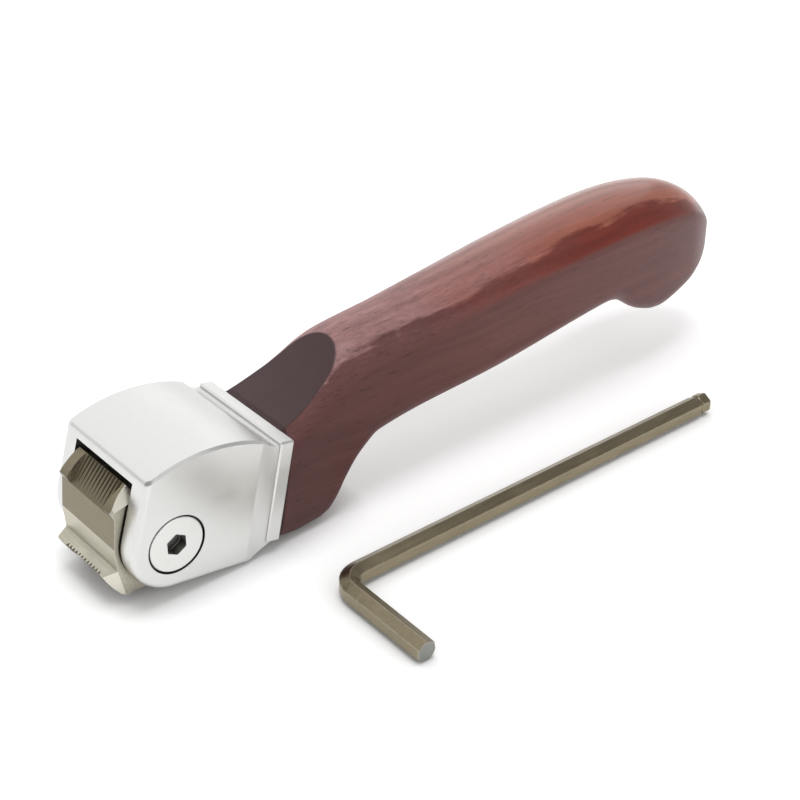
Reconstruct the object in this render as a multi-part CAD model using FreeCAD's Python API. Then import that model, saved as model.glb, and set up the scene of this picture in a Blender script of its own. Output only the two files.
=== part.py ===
import FreeCAD, Part
import math
import os

from FreeCAD import Vector

# Cross hatch cutter with a wooden handle, and the hex key that loosens its cutter.
# The cutter's axle lies on the Y axis' line above the origin, +X runs to the handle's tail,
# the clamp screw is on the -Y side, and Z = 0 is the surface that the tool rests on.

# Cutter wheel
LOBES = 4
TIP_RADIUS = 13.5
LAND_RADIUS = 13.7
FOOT_RADIUS = 12.2
WAIST_RADIUS = 10.5
GULLET_RADIUS = 10.95
FIRST_EDGE_ANGLE = 204.5
LAND_SPAN = 25.0
FOOT_SPAN = 28.5
WAIST_SPAN = 60.0
GULLET_LEAD = 3.0
WHEEL_END_CHAMFER = 0.5
CORNER_BEVEL = 2.1
TEETH = 11
TOOTH_PITCH = 1.0
TOOTH_DEPTH = 0.8
RELIEF_MARGIN = 0.9

# Axle: clamp screw, sleeve, nut and thrust washers
SCREW_DIAMETER = 6.0
SCREW_END_CHAMFER = 0.5
SCREW_HEAD_DIAMETER = 11.7
SCREW_HEAD_HEIGHT = 3.0
SCREW_HEAD_CHAMFER = 0.25
SOCKET_FLATS = 4.0
SOCKET_DEPTH = 2.2
SLEEVE_WALL = 1.0
SLEEVE_END_GAP = 0.05
WASHER_DIAMETER = 15.0
WASHER_THICKNESS = 0.3
NUT_FLANGE_DIAMETER = 11.0
NUT_FLANGE_HEIGHT = 1.6
NUT_BARREL_DIAMETER = 8.6
NUT_PIN_HOLE_DIAMETER = 1.2
NUT_PIN_HOLE_DEPTH = 1.0

# Fits
RUNNING_CLEARANCE = 0.04
HEAD_CLEARANCE = 0.3
WHEEL_SIDE_GAP = 0.4
WHEEL_TIP_GAP = 0.45
KEY_CLEARANCE = 0.05
SEAT_GAP = 0.02

# Head housing
HEAD_WIDTH = 27.5
CHEEK_THICKNESS = 4.2
NOSE_RADIUS = 9.4
NOSE_EDGE_ROUND = 1.2
FRONT_TOP_X = -5.1
FRONT_TOP_HEIGHT = 15.5
ARCH_RADIUS = 32.2
ARCH_START_ANGLE = 19.8
BELLY_SLOPE = 9.0
BELLY_END_X = 14.4
SLOT_CEILING_ANGLE = 97.0
SLOT_BACK_ANGLE = 300.0
WAIST_DEPTH = 0.5
WAIST_LENGTH = 4.5
VALLEY_DEPTH = 0.6
VALLEY_ROUND = 5.0
TOP_EDGE_BREAK = 0.5

# Collar at the back of the head
COLLAR_LEAN = 12.2
COLLAR_BACK_X = 25.85
COLLAR_THICKNESS = 3.1
COLLAR_TOP = 23.5
COLLAR_BOTTOM = 2.3
COLLAR_EDGE_BREAK = 0.3

# Handle
HANDLE_GAP = 0.15
HANDLE_FRONT_HALF_WIDTH = 13.3
HANDLE_HALF_WIDTH = 11.6
CAP_HEIGHT = 4.6
CAP_EDGE_ROUND = 3.0
BELLY_EDGE_ROUND = 3.4
SCOOP_RADIUS = 42.0
SCOOP_START_HEIGHT = 23.2
SCOOP_END_X = 46.0
SCOOP_END_HEIGHT = 33.5

# Handle outlines as points along X: top line, bottom line, half width, arch of the cap, lean of the flanks
LARGEST_LOW_SHARE = 0.6
LARGEST_SOFT_SHARE = 0.4
LARGEST_ROUND_SHARE = 0.3
HANDLE_END_X = 152.2
LEAN_END_X = 47.0
HANDLE_TOP = [(20, 25.0), (34, 29.2), (46, 33.3), (62, 35.0), (100, 38.5), (123, 39.6), (137, 38.2),
              (144.5, 35.4), (149.8, 31.2), (HANDLE_END_X, 26.4)]
HANDLE_BOTTOM = [(20, 2.6), (29, 0.1), (33.5, 0.5), (36.8, 2.6), (39.4, 6.2), (43, 10.4), (49, 13.8),
                 (82, 16.2), (112, 19.8), (117.5, 19.2), (124, 14.8), (130, 12.7), (136, 13.4),
                 (HANDLE_END_X, 24.2)]
HANDLE_PLAN = [(20, HANDLE_FRONT_HALF_WIDTH), (60, HANDLE_HALF_WIDTH), (124, HANDLE_HALF_WIDTH),
               (140, 10.4), (146.5, 8.2), (150.8, 4.8), (HANDLE_END_X, 2.0)]
HANDLE_CAP = [(20, 9.5), (34, 9.0), (62, 6.0), (130, CAP_HEIGHT), (HANDLE_END_X, CAP_HEIGHT)]
HANDLE_TAPER = [(20, 0.4), (47, 1.6), (66, 1.2), (100, 0.3), (HANDLE_END_X, 0)]
SECTION_PLACES = [30, 33, 35.5, 38, 40.5, 43.5, LEAN_END_X, 54, 66, 82, 98, 112, 118, 124, 130, 135, 140,
                  144.5, 148, 150.5, 151.8, HANDLE_END_X]

# Handle fixing
STUD_DIAMETER = 6.0
STUD_RISE = 9.0
STUD_CENTRE_HEIGHT = 16.5
STUD_IN_HEAD = 8.0
STUD_IN_WOOD = 40.0
STUD_CHAMFER = 0.6
BLIND_END_GAP = 0.3
INSERT_DIAMETER = 9.0
INSERT_LENGTH = 18.0
INSERT_START = 6.0
PIN_DIAMETER = 3.0
PIN_IN_HEAD = 5.0
PIN_IN_WOOD = 9.0
PIN_CHAMFER = 0.3
PIN_SPACING = 17.0
SET_SCREW_DIAMETER = 4.0
SET_SCREW_LENGTH = 6.0
SET_SCREW_X = 19.0
SET_SCREW_POINT = 1.0
SET_SCREW_SOCKET_FLATS = 2.0
SET_SCREW_SOCKET_DEPTH = 2.0

# Hex key
KEY_FLATS = SOCKET_FLATS - 2 * KEY_CLEARANCE
KEY_LONG_ARM = 99.0
KEY_SHORT_ARM = 25.6
KEY_LONG_ARM_ANGLE = -0.8
KEY_BEND_RADIUS = 4.6
KEY_CORNER_X = 24.0
KEY_CORNER_Y = -31.0
KEY_NECK_DIAMETER = 3.0
KEY_NECK_LENGTH = 0.7
KEY_BALL_LENGTH = 2.5
KEY_BALL_DIAMETER = 4.7
KEY_END_CHAMFER = 0.3

# Derived places
AXLE_HEIGHT = -TIP_RADIUS * math.sin(math.radians(FIRST_EDGE_ANGLE + 90))
HEAD_HALF = HEAD_WIDTH / 2
SLOT_HALF = HEAD_HALF - CHEEK_THICKNESS
WHEEL_WIDTH = 2 * (SLOT_HALF - WHEEL_SIDE_GAP)
AXLE = Vector(0, 0, AXLE_HEIGHT)
POCKET_RADIUS = TIP_RADIUS + WHEEL_TIP_GAP
SLEEVE_RADIUS = SCREW_DIAMETER / 2 + SLEEVE_WALL
Y_AXIS = Vector(0, 1, 0)
Z_AXIS = Vector(0, 0, 1)


def rad(angle):
    return math.radians(angle)


def polar(radius, angle):
    """Point in the side plane, from the axle."""
    return Vector(radius * math.cos(rad(angle)), 0, AXLE_HEIGHT + radius * math.sin(rad(angle)))


def side_face(points):
    """Flat face in the side plane through the points, closed."""
    return Part.Face(Part.makePolygon(points + [points[0]]))


def thick(face, half):
    """Solid of a side-plane face, to both sides by half."""
    moved = face.copy()
    moved.translate(Vector(0, -half, 0))
    return moved.extrude(Vector(0, 2 * half, 0))


def rod(radius, start, length, direction=Y_AXIS):
    """Cylinder from a point along a direction."""
    return Part.makeCylinder(radius, length, start, direction)


def hex_prism(flats, start, length, direction, turn_to):
    """Hexagonal prism with one corner turned to the given direction."""
    radius = flats / math.sqrt(3)
    side = direction.cross(turn_to).normalize()
    ring = []
    for i in range(6):
        angle = rad(60 * i)
        ring.append(start + turn_to * (radius * math.cos(angle)) + side * (radius * math.sin(angle)))
    return Part.Face(Part.makePolygon(ring + [ring[0]])).extrude(direction * length)


def edges_where(shape, test):
    return [edge for edge in shape.Edges if test(edge)]


def is_circle(edge):
    return edge.Curve.TypeId == "Part::GeomCircle"


def lobe_profile():
    """Side outline of the wheel: for each lobe its edge, land, back, waist and gullet."""
    edges = []
    step = 360 / LOBES
    for lobe in range(LOBES):
        start = FIRST_EDGE_ANGLE + lobe * step
        edge = polar(TIP_RADIUS, start)
        land_mid = polar((TIP_RADIUS + LAND_RADIUS) / 2, start + LAND_SPAN / 2)
        land_end = polar(LAND_RADIUS, start + LAND_SPAN)
        foot = polar(FOOT_RADIUS, start + FOOT_SPAN)
        waist = polar(WAIST_RADIUS, start + WAIST_SPAN)
        gullet = polar(GULLET_RADIUS, start + step - GULLET_LEAD)
        next_edge = polar(TIP_RADIUS, start + step)
        edges.append(Part.Arc(edge, land_mid, land_end).toShape())
        edges.append(Part.makeLine(land_end, foot))
        edges.append(Part.makeLine(foot, waist))
        edges.append(Part.makeLine(waist, gullet))
        edges.append(Part.makeLine(gullet, next_edge))
    return Part.Face(Part.Wire(edges))


def relief(start):
    """Ground recess that lowers the toothed part of a land towards its back."""
    reach = TIP_RADIUS + LAND_RADIUS
    outline = side_face([
        polar(TIP_RADIUS, start),
        polar(reach, start),
        polar(reach, start + FOOT_SPAN),
        polar(FOOT_RADIUS, start + FOOT_SPAN),
    ])
    return thick(outline, TOOTH_PITCH * TEETH / 2 + RELIEF_MARGIN)


def tooth_groove(offset, start):
    """V groove along the relieved land, deepest at the cutting edge and run out at the land's foot."""
    deep = polar(TIP_RADIUS - TOOTH_DEPTH, start)
    shallow = polar(FOOT_RADIUS, start + FOOT_SPAN)
    run = (shallow - deep).normalize()
    out = Vector(-run.z, 0, run.x)
    if out.dot(deep - AXLE) < 0:
        out = out * -1
    begin = deep - run * TOOTH_PITCH + Vector(0, offset, 0)
    length = (shallow - deep).Length + TOOTH_PITCH
    rise = 2 * TOOTH_DEPTH
    spread = Vector(0, TOOTH_PITCH, 0)
    ring = [begin, begin + out * rise + spread, begin + out * rise - spread]
    return Part.Face(Part.makePolygon(ring + [ring[0]])).extrude(run * length)


def corner_cutter(start):
    """Block that bevels the near end of a cutting edge."""
    end = -WHEEL_WIDTH / 2
    tip = polar(TIP_RADIUS, start) + Vector(0, end + CORNER_BEVEL, 0)
    back = polar(LAND_RADIUS, start + LAND_SPAN) + Vector(0, end, 0)
    root = polar(GULLET_RADIUS, start - GULLET_LEAD) + Vector(0, end, 0)
    normal = (back - tip).cross(root - tip).normalize()
    if normal.y > 0:
        normal = normal * -1
    size = 4 * TIP_RADIUS
    block = Part.makeBox(size, size, CORNER_BEVEL * 3, Vector(0, 0, 0), normal)
    block.translate(tip + normal * (CORNER_BEVEL * 1.5) - block.CenterOfMass)
    reach = side_face([
        polar(WAIST_RADIUS, start - FOOT_SPAN),
        polar(2 * TIP_RADIUS, start - FOOT_SPAN),
        polar(2 * TIP_RADIUS, start + LAND_SPAN),
        polar(LAND_RADIUS, start + LAND_SPAN),
        polar(GULLET_RADIUS, start - GULLET_LEAD),
    ])
    return block.common(thick(reach, HEAD_HALF))


def wheel_envelope():
    """Round blank of the wheel with chamfered ends."""
    half = WHEEL_WIDTH / 2
    radius = LAND_RADIUS
    blank = rod(radius, Vector(0, -half, AXLE_HEIGHT), 2 * half)
    return blank.makeChamfer(WHEEL_END_CHAMFER, edges_where(blank, is_circle))


def cutter_wheel():
    """Star-shaped cutter with a row of teeth on every lobe."""
    body = thick(lobe_profile(), WHEEL_WIDTH / 2).common(wheel_envelope())
    cutters = []
    for lobe in range(LOBES):
        start = FIRST_EDGE_ANGLE + lobe * 360 / LOBES
        cutters.append(relief(start))
        for i in range(TEETH + 1):
            cutters.append(tooth_groove((i - TEETH / 2) * TOOTH_PITCH, start))
        cutters.append(corner_cutter(start))
    for cutter in cutters:
        body = body.cut(cutter)
    bore = rod(SLEEVE_RADIUS + RUNNING_CLEARANCE, Vector(0, -HEAD_HALF, AXLE_HEIGHT), HEAD_WIDTH)
    return body.cut(bore)


def axle_sleeve():
    """Hardened sleeve that the wheel turns on, held between the cheeks."""
    half = SLOT_HALF - SLEEVE_END_GAP
    start = Vector(0, -half, AXLE_HEIGHT)
    tube = rod(SLEEVE_RADIUS, start, 2 * half)
    return tube.cut(rod(SCREW_DIAMETER / 2 + RUNNING_CLEARANCE, start, 2 * half))


def thrust_washer(side):
    """Thin washer between the wheel and one cheek."""
    middle = side * (WHEEL_WIDTH / 2 + WHEEL_SIDE_GAP / 2)
    start = Vector(0, middle - WASHER_THICKNESS / 2, AXLE_HEIGHT)
    disc = rod(WASHER_DIAMETER / 2, start, WASHER_THICKNESS)
    return disc.cut(rod(SLEEVE_RADIUS + RUNNING_CLEARANCE, start, WASHER_THICKNESS))


def clamp_screw():
    """Flush screw with a hex socket, through the near cheek, the sleeve and the far nut."""
    top = -HEAD_HALF
    head = rod(SCREW_HEAD_DIAMETER / 2, Vector(0, top, AXLE_HEIGHT), SCREW_HEAD_HEIGHT)
    rim = edges_where(head, lambda e: e.BoundBox.YMax < top + SEAT_GAP)
    head = head.makeChamfer(SCREW_HEAD_CHAMFER, rim)
    end = HEAD_HALF - NUT_FLANGE_HEIGHT
    start = top + SCREW_HEAD_HEIGHT / 2
    shank = rod(SCREW_DIAMETER / 2, Vector(0, start, AXLE_HEIGHT), end - start)
    tip = edges_where(shank, lambda e: e.BoundBox.YMin > end - SEAT_GAP)
    shank = shank.makeChamfer(SCREW_END_CHAMFER, tip)
    socket = hex_prism(SOCKET_FLATS, Vector(0, top, AXLE_HEIGHT), SOCKET_DEPTH, Y_AXIS, Z_AXIS)
    return head.fuse(shank).cut(socket).removeSplitter()


def nut_blank(grow=0.0):
    """Flange and barrel of the nut; grown, they are its seat in the far cheek."""
    flange_start = Vector(0, HEAD_HALF - NUT_FLANGE_HEIGHT - grow, AXLE_HEIGHT)
    flange = rod(NUT_FLANGE_DIAMETER / 2 + grow, flange_start, NUT_FLANGE_HEIGHT + grow)
    barrel_start = SLOT_HALF + SEAT_GAP - grow
    barrel_length = HEAD_HALF - barrel_start
    barrel = rod(NUT_BARREL_DIAMETER / 2 + grow, Vector(0, barrel_start, AXLE_HEIGHT), barrel_length)
    return flange.fuse(barrel)


def clamp_nut():
    """Flanged nut let into the far cheek, with its thread bore and two spanner holes."""
    nut = nut_blank()
    cutters = [rod(SCREW_DIAMETER / 2 + RUNNING_CLEARANCE, AXLE, HEAD_WIDTH)]
    offset = (NUT_FLANGE_DIAMETER + SCREW_DIAMETER) / 4
    for side in (-1, 1):
        start = Vector(0, HEAD_HALF - NUT_PIN_HOLE_DEPTH, AXLE_HEIGHT + side * offset)
        cutters.append(rod(NUT_PIN_HOLE_DIAMETER / 2, start, NUT_PIN_HOLE_DEPTH))
    return nut.cut(cutters).removeSplitter()


def arch_centre():
    angle = rad(ARCH_START_ANGLE)
    return Vector(FRONT_TOP_X + ARCH_RADIUS * math.sin(angle), 0,
                  AXLE_HEIGHT + FRONT_TOP_HEIGHT - ARCH_RADIUS * math.cos(angle))


def arch_height(x):
    centre = arch_centre()
    return centre.z + math.sqrt(ARCH_RADIUS ** 2 - (x - centre.x) ** 2)


def nose_tangent():
    """Angle at the axle where the sloped front meets the round nose."""
    reach = math.hypot(FRONT_TOP_X, FRONT_TOP_HEIGHT)
    base = math.degrees(math.atan2(FRONT_TOP_HEIGHT, FRONT_TOP_X))
    return base + math.degrees(math.acos(NOSE_RADIUS / reach))


def collar_point(along, height):
    """Point of the leaning collar plane: along its normal, at a height above the table."""
    lean = rad(COLLAR_LEAN)
    rise = (height - STUD_CENTRE_HEIGHT) / math.cos(lean)
    base = Vector(COLLAR_BACK_X, 0, STUD_CENTRE_HEIGHT)
    return base + collar_axis() * rise + collar_normal() * along


def head_outline():
    """Side outline of the head: sloped front, arched top, round nose and rising belly."""
    top_front = Vector(FRONT_TOP_X, 0, AXLE_HEIGHT + FRONT_TOP_HEIGHT)
    top_back = collar_point(-COLLAR_THICKNESS / 2, COLLAR_TOP)
    top_back.z = min(arch_height(top_back.x), COLLAR_TOP)
    mid_x = (top_front.x + top_back.x) / 2
    top_mid = Vector(mid_x, 0, arch_height(mid_x))
    low_back = collar_point(-COLLAR_THICKNESS / 2, COLLAR_BOTTOM)
    nose_top = polar(NOSE_RADIUS, nose_tangent())
    nose_low_angle = 270 - BELLY_SLOPE
    nose_low = polar(NOSE_RADIUS, nose_low_angle)
    nose_mid = polar(NOSE_RADIUS, (nose_tangent() + nose_low_angle) / 2)
    belly_z = nose_low.z - (BELLY_END_X - nose_low.x) * math.tan(rad(BELLY_SLOPE))
    belly_end = Vector(BELLY_END_X, 0, belly_z)
    edges = [
        Part.Arc(top_front, top_mid, top_back).toShape(),
        Part.makeLine(top_back, low_back),
        Part.makeLine(low_back, belly_end),
        Part.makeLine(belly_end, nose_low),
        Part.Arc(nose_low, nose_mid, nose_top).toShape(),
        Part.makeLine(nose_top, top_front),
    ]
    return Part.Face(Part.Wire(edges))


def collar_axis():
    """Direction up along the leaning collar."""
    return Vector(math.sin(rad(COLLAR_LEAN)), 0, math.cos(rad(COLLAR_LEAN)))


def collar_normal():
    """Direction square to the leaning collar, towards the handle."""
    return Vector(math.cos(rad(COLLAR_LEAN)), 0, -math.sin(rad(COLLAR_LEAN)))


def collar():
    """Rectangular flange that the handle butts against."""
    low = collar_point(-COLLAR_THICKNESS, COLLAR_BOTTOM)
    high = collar_point(-COLLAR_THICKNESS, COLLAR_TOP)
    side = Vector(0, HEAD_HALF, 0)
    ring = [low - side, low + side, high + side, high - side]
    block = Part.Face(Part.makePolygon(ring + [ring[0]])).extrude(collar_normal() * COLLAR_THICKNESS)
    return block.makeChamfer(COLLAR_EDGE_BREAK, block.Edges)


def waist_scoop(side):
    """Shallow hollow down one flank of the head, deepest where it meets the collar."""
    radius = (WAIST_LENGTH ** 2 + WAIST_DEPTH ** 2) / (2 * WAIST_DEPTH)
    place = collar_point(-COLLAR_THICKNESS, -HEAD_WIDTH)
    place.y = side * (HEAD_HALF - WAIST_DEPTH + radius)
    return rod(radius, place, 3 * HEAD_WIDTH, collar_axis())


def top_valley():
    """Shallow round channel across the head's roof, in front of the collar."""
    reach = math.sqrt(VALLEY_ROUND ** 2 - (VALLEY_ROUND - VALLEY_DEPTH) ** 2)
    corner = collar_point(-COLLAR_THICKNESS, COLLAR_TOP - 2 * COLLAR_EDGE_BREAK)
    out = (corner - arch_centre()).normalize()
    along = Vector(out.z, 0, -out.x)
    place = corner - along * reach + out * (VALLEY_ROUND - VALLEY_DEPTH)
    place.y = -HEAD_WIDTH
    return rod(VALLEY_ROUND, place, 2 * HEAD_WIDTH)


def stud_direction():
    return Vector(math.cos(rad(STUD_RISE)), 0, math.sin(rad(STUD_RISE)))


def stud_origin():
    """Where the stud's axis crosses the collar's back face."""
    return Vector(COLLAR_BACK_X, 0, STUD_CENTRE_HEIGHT)


def pin_origin(side):
    return stud_origin() + Vector(0, side * PIN_SPACING / 2, 0)


def blind_bore(radius, origin, depth):
    """Hole along the stud's direction into the head, open at the collar."""
    direction = stud_direction()
    return rod(radius, origin - direction * depth, depth + COLLAR_THICKNESS, direction)


def roof_opening():
    """Side outline of what the wheel's slot takes away in front of and below the axle."""
    back_low = polar(POCKET_RADIUS, SLOT_BACK_ANGLE)
    ceiling = polar(POCKET_RADIUS, SLOT_CEILING_ANGLE)
    far = 3 * POCKET_RADIUS
    return side_face([
        Vector(-far, 0, -far),
        Vector(back_low.x, 0, -far),
        back_low,
        AXLE,
        ceiling,
        ceiling + Vector(-far, 0, 0),
    ])


def head_housing():
    """Fork-shaped head: two cheeks, arched roof, wheel pocket and collar."""
    roof = AXLE_HEIGHT + FRONT_TOP_HEIGHT
    body = thick(head_outline(), HEAD_HALF)
    outer = edges_where(body, lambda e: abs(e.CenterOfMass.y) > HEAD_HALF - SEAT_GAP)
    nose_end = BELLY_END_X - NOSE_EDGE_ROUND
    nose = [e for e in outer if e.CenterOfMass.x < nose_end and e.BoundBox.ZMax < roof + SEAT_GAP]
    body = body.makeFillet(NOSE_EDGE_ROUND, nose)
    across = edges_where(body, lambda e: e.BoundBox.YLength > HEAD_HALF and e.CenterOfMass.x < 0)
    lip = [e for e in across if e.BoundBox.ZMin > roof - NOSE_EDGE_ROUND]
    body = body.makeChamfer(TOP_EDGE_BREAK, lip)
    body = body.cut([waist_scoop(-1), waist_scoop(1), top_valley()])
    body = body.fuse(collar())
    pocket = rod(POCKET_RADIUS, Vector(0, -SLOT_HALF, AXLE_HEIGHT), 2 * SLOT_HALF)
    body = body.cut([pocket, thick(roof_opening(), SLOT_HALF)])
    outside = Vector(0, -2 * HEAD_HALF, AXLE_HEIGHT)
    counterbore_depth = HEAD_HALF + SCREW_HEAD_HEIGHT + SEAT_GAP
    counterbore = rod(SCREW_HEAD_DIAMETER / 2 + HEAD_CLEARANCE, outside, counterbore_depth)
    through = rod(SCREW_DIAMETER / 2 + RUNNING_CLEARANCE, outside, 2 * HEAD_HALF)
    holes = [counterbore, through, nut_blank(SEAT_GAP)]
    holes.append(blind_bore(STUD_DIAMETER / 2 + SEAT_GAP, stud_origin(), STUD_IN_HEAD + BLIND_END_GAP))
    for side in (-1, 1):
        holes.append(blind_bore(PIN_DIAMETER / 2 + SEAT_GAP, pin_origin(side), PIN_IN_HEAD + BLIND_END_GAP))
    seat_end = set_screw_top() + STUD_DIAMETER / 2
    set_screw_start = Vector(SET_SCREW_X, 0, -seat_end)
    holes.append(rod(SET_SCREW_DIAMETER / 2 + SEAT_GAP, set_screw_start, 2 * seat_end, Z_AXIS))
    return body.cut(holes).removeSplitter()


def set_screw_top():
    """Height where the set screw's point meets the underside of the stud."""
    axis_height = STUD_CENTRE_HEIGHT + (SET_SCREW_X - COLLAR_BACK_X) * math.tan(rad(STUD_RISE))
    radius = (STUD_DIAMETER / 2 + SEAT_GAP) / math.cos(rad(STUD_RISE))
    return axis_height - radius - SET_SCREW_DIAMETER / 4 * math.tan(rad(STUD_RISE))


def stud_set_screw():
    """Cone-point socket screw from the head's underside that holds the stud."""
    radius = SET_SCREW_DIAMETER / 2
    top = set_screw_top()
    start = Vector(SET_SCREW_X, 0, top - SET_SCREW_LENGTH)
    body = rod(radius, start, SET_SCREW_LENGTH - SET_SCREW_POINT, Z_AXIS)
    cone_start = Vector(SET_SCREW_X, 0, top - SET_SCREW_POINT)
    cone = Part.makeCone(radius, radius / 2, SET_SCREW_POINT, cone_start, Z_AXIS)
    socket = hex_prism(SET_SCREW_SOCKET_FLATS, start, SET_SCREW_SOCKET_DEPTH, Z_AXIS, Vector(1, 0, 0))
    return body.fuse(cone).cut(socket).removeSplitter()


def handle_stud():
    """Steel stud from the head's bore into the handle."""
    direction = stud_direction()
    start = stud_origin() - direction * STUD_IN_HEAD
    stud = rod(STUD_DIAMETER / 2, start, STUD_IN_HEAD + STUD_IN_WOOD, direction)
    return stud.makeChamfer(STUD_CHAMFER, edges_where(stud, is_circle))


def insert_blank(grow=0.0):
    start = stud_origin() + stud_direction() * (INSERT_START - grow)
    return rod(INSERT_DIAMETER / 2 + grow, start, INSERT_LENGTH + 2 * grow, stud_direction())


def handle_insert():
    """Threaded insert in the wood that the stud screws into."""
    start = stud_origin()
    return insert_blank().cut(rod(STUD_DIAMETER / 2 + SEAT_GAP, start, STUD_IN_WOOD, stud_direction()))


def locating_pin(side):
    """Dowel pin that stops the handle from turning on the stud."""
    direction = stud_direction()
    start = pin_origin(side) - direction * PIN_IN_HEAD
    pin = rod(PIN_DIAMETER / 2, start, PIN_IN_HEAD + PIN_IN_WOOD, direction)
    return pin.makeChamfer(PIN_CHAMFER, edges_where(pin, is_circle))


def handle_section(x, lean):
    """Closed section of the handle: flat flanks, arched cap and rounded underside."""
    top = curve_value(HANDLE_TOP, x)
    bottom = curve_value(HANDLE_BOTTOM, x)
    half = curve_value(HANDLE_PLAN, x)
    upper = half - curve_value(HANDLE_TAPER, x)
    low_round = min(BELLY_EDGE_ROUND, half * LARGEST_LOW_SHARE, (top - bottom) * LARGEST_ROUND_SHARE)
    soft = min(CAP_EDGE_ROUND, upper * LARGEST_SOFT_SHARE)
    cap = min(curve_value(HANDLE_CAP, x), (top - bottom) * LARGEST_ROUND_SHARE)
    radius = (upper ** 2 + cap ** 2) / (2 * cap)
    centre = top - radius
    soft_z = centre + math.sqrt((radius - soft) ** 2 - (upper - soft) ** 2)
    scale = radius / (radius - soft)
    on_cap = ((upper - soft) * scale, centre + (soft_z - centre) * scale)
    blend = math.atan2(soft_z - centre, upper - soft) / 2
    soft_mid = (upper - soft + soft * math.cos(blend), soft_z + soft * math.sin(blend))
    tilt = math.tan(rad(lean))
    middle = (top + bottom) / 2
    diagonal = low_round * (1 - math.sqrt(0.5))

    def place(y, z):
        return Vector(x + (z - middle) * tilt, y, z)

    right = [
        place(half, bottom + low_round),
        place(upper, soft_z),
    ]
    edges = [
        Part.makeLine(place(-half + low_round, bottom), place(half - low_round, bottom)),
        Part.Arc(place(half - low_round, bottom), place(half - diagonal, bottom + diagonal),
                 right[0]).toShape(),
        Part.makeLine(right[0], right[1]),
        Part.Arc(right[1], place(*soft_mid), place(*on_cap)).toShape(),
        Part.Arc(place(*on_cap), place(0, top), place(-on_cap[0], on_cap[1])).toShape(),
        Part.Arc(place(-on_cap[0], on_cap[1]), place(-soft_mid[0], soft_mid[1]),
                 place(-upper, soft_z)).toShape(),
        Part.makeLine(place(-upper, soft_z), place(-half, bottom + low_round)),
        Part.Arc(place(-half, bottom + low_round), place(-half + diagonal, bottom + diagonal),
                 place(-half + low_round, bottom)).toShape(),
    ]
    return Part.Wire(edges)


def curve_value(points, x):
    """Smooth curve through the points of a side or plan outline, read at x."""
    for i in range(len(points) - 1):
        if x <= points[i + 1][0] or i == len(points) - 2:
            break
    x0, y0 = points[i]
    x1, y1 = points[i + 1]
    before = points[i - 1] if i > 0 else points[i]
    after = points[i + 2] if i + 2 < len(points) else points[i + 1]
    slope0 = (y1 - before[1]) / (x1 - before[0])
    slope1 = (after[1] - y0) / (after[0] - x0)
    t = (x - x0) / (x1 - x0)
    h = x1 - x0
    return ((2 * t ** 3 - 3 * t ** 2 + 1) * y0 + (t ** 3 - 2 * t ** 2 + t) * h * slope0
            + (-2 * t ** 3 + 3 * t ** 2) * y1 + (t ** 3 - t ** 2) * h * slope1)


def thumb_scoop():
    """Large cylinder that hollows the handle from the collar's top up to the grip's top."""
    low = Vector(COLLAR_BACK_X + (SCOOP_START_HEIGHT - STUD_CENTRE_HEIGHT) * math.tan(rad(COLLAR_LEAN)), 0,
                 SCOOP_START_HEIGHT)
    high = Vector(SCOOP_END_X, 0, SCOOP_END_HEIGHT)
    chord = high - low
    up = Vector(-chord.z, 0, chord.x).normalize()
    rise = math.sqrt(SCOOP_RADIUS ** 2 - (chord.Length / 2) ** 2)
    centre = (low + high) * 0.5 + up * rise
    centre.y = -HEAD_WIDTH
    return rod(SCOOP_RADIUS, centre, 2 * HEAD_WIDTH)


def handle():
    """Shaped wooden handle: guard, grip, pommel and thumb scoop."""
    wires = []
    front_middle = (HANDLE_TOP[0][1] + HANDLE_BOTTOM[0][1]) / 2
    shift = (front_middle - STUD_CENTRE_HEIGHT) * math.tan(rad(COLLAR_LEAN))
    front = COLLAR_BACK_X + HANDLE_GAP / math.cos(rad(COLLAR_LEAN)) + shift
    for x in [front] + SECTION_PLACES:
        lean = max(0.0, COLLAR_LEAN * (LEAN_END_X - x) / (LEAN_END_X - front))
        wires.append(handle_section(x, lean))
    body = Part.makeLoft(wires, True, True).cut(thumb_scoop())
    direction = stud_direction()
    cutters = [insert_blank(SEAT_GAP)]
    lead = direction * COLLAR_THICKNESS
    bores = [(STUD_DIAMETER, stud_origin(), STUD_IN_WOOD)]
    for side in (-1, 1):
        bores.append((PIN_DIAMETER, pin_origin(side), PIN_IN_WOOD))
    for diameter, origin, depth in bores:
        length = depth + BLIND_END_GAP + COLLAR_THICKNESS
        cutters.append(rod(diameter / 2 + SEAT_GAP, origin - lead, length, direction))
    return body.cut(cutters)


def key_direction():
    """Direction of the key's long arm on the table."""
    return Vector(math.cos(rad(KEY_LONG_ARM_ANGLE)), math.sin(rad(KEY_LONG_ARM_ANGLE)), 0)


def key_arm(corner, direction, start, end):
    """Straight hexagonal length of the key, resting on one corner."""
    return hex_prism(KEY_FLATS, corner + direction * start, end - start, direction, Z_AXIS)


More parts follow.
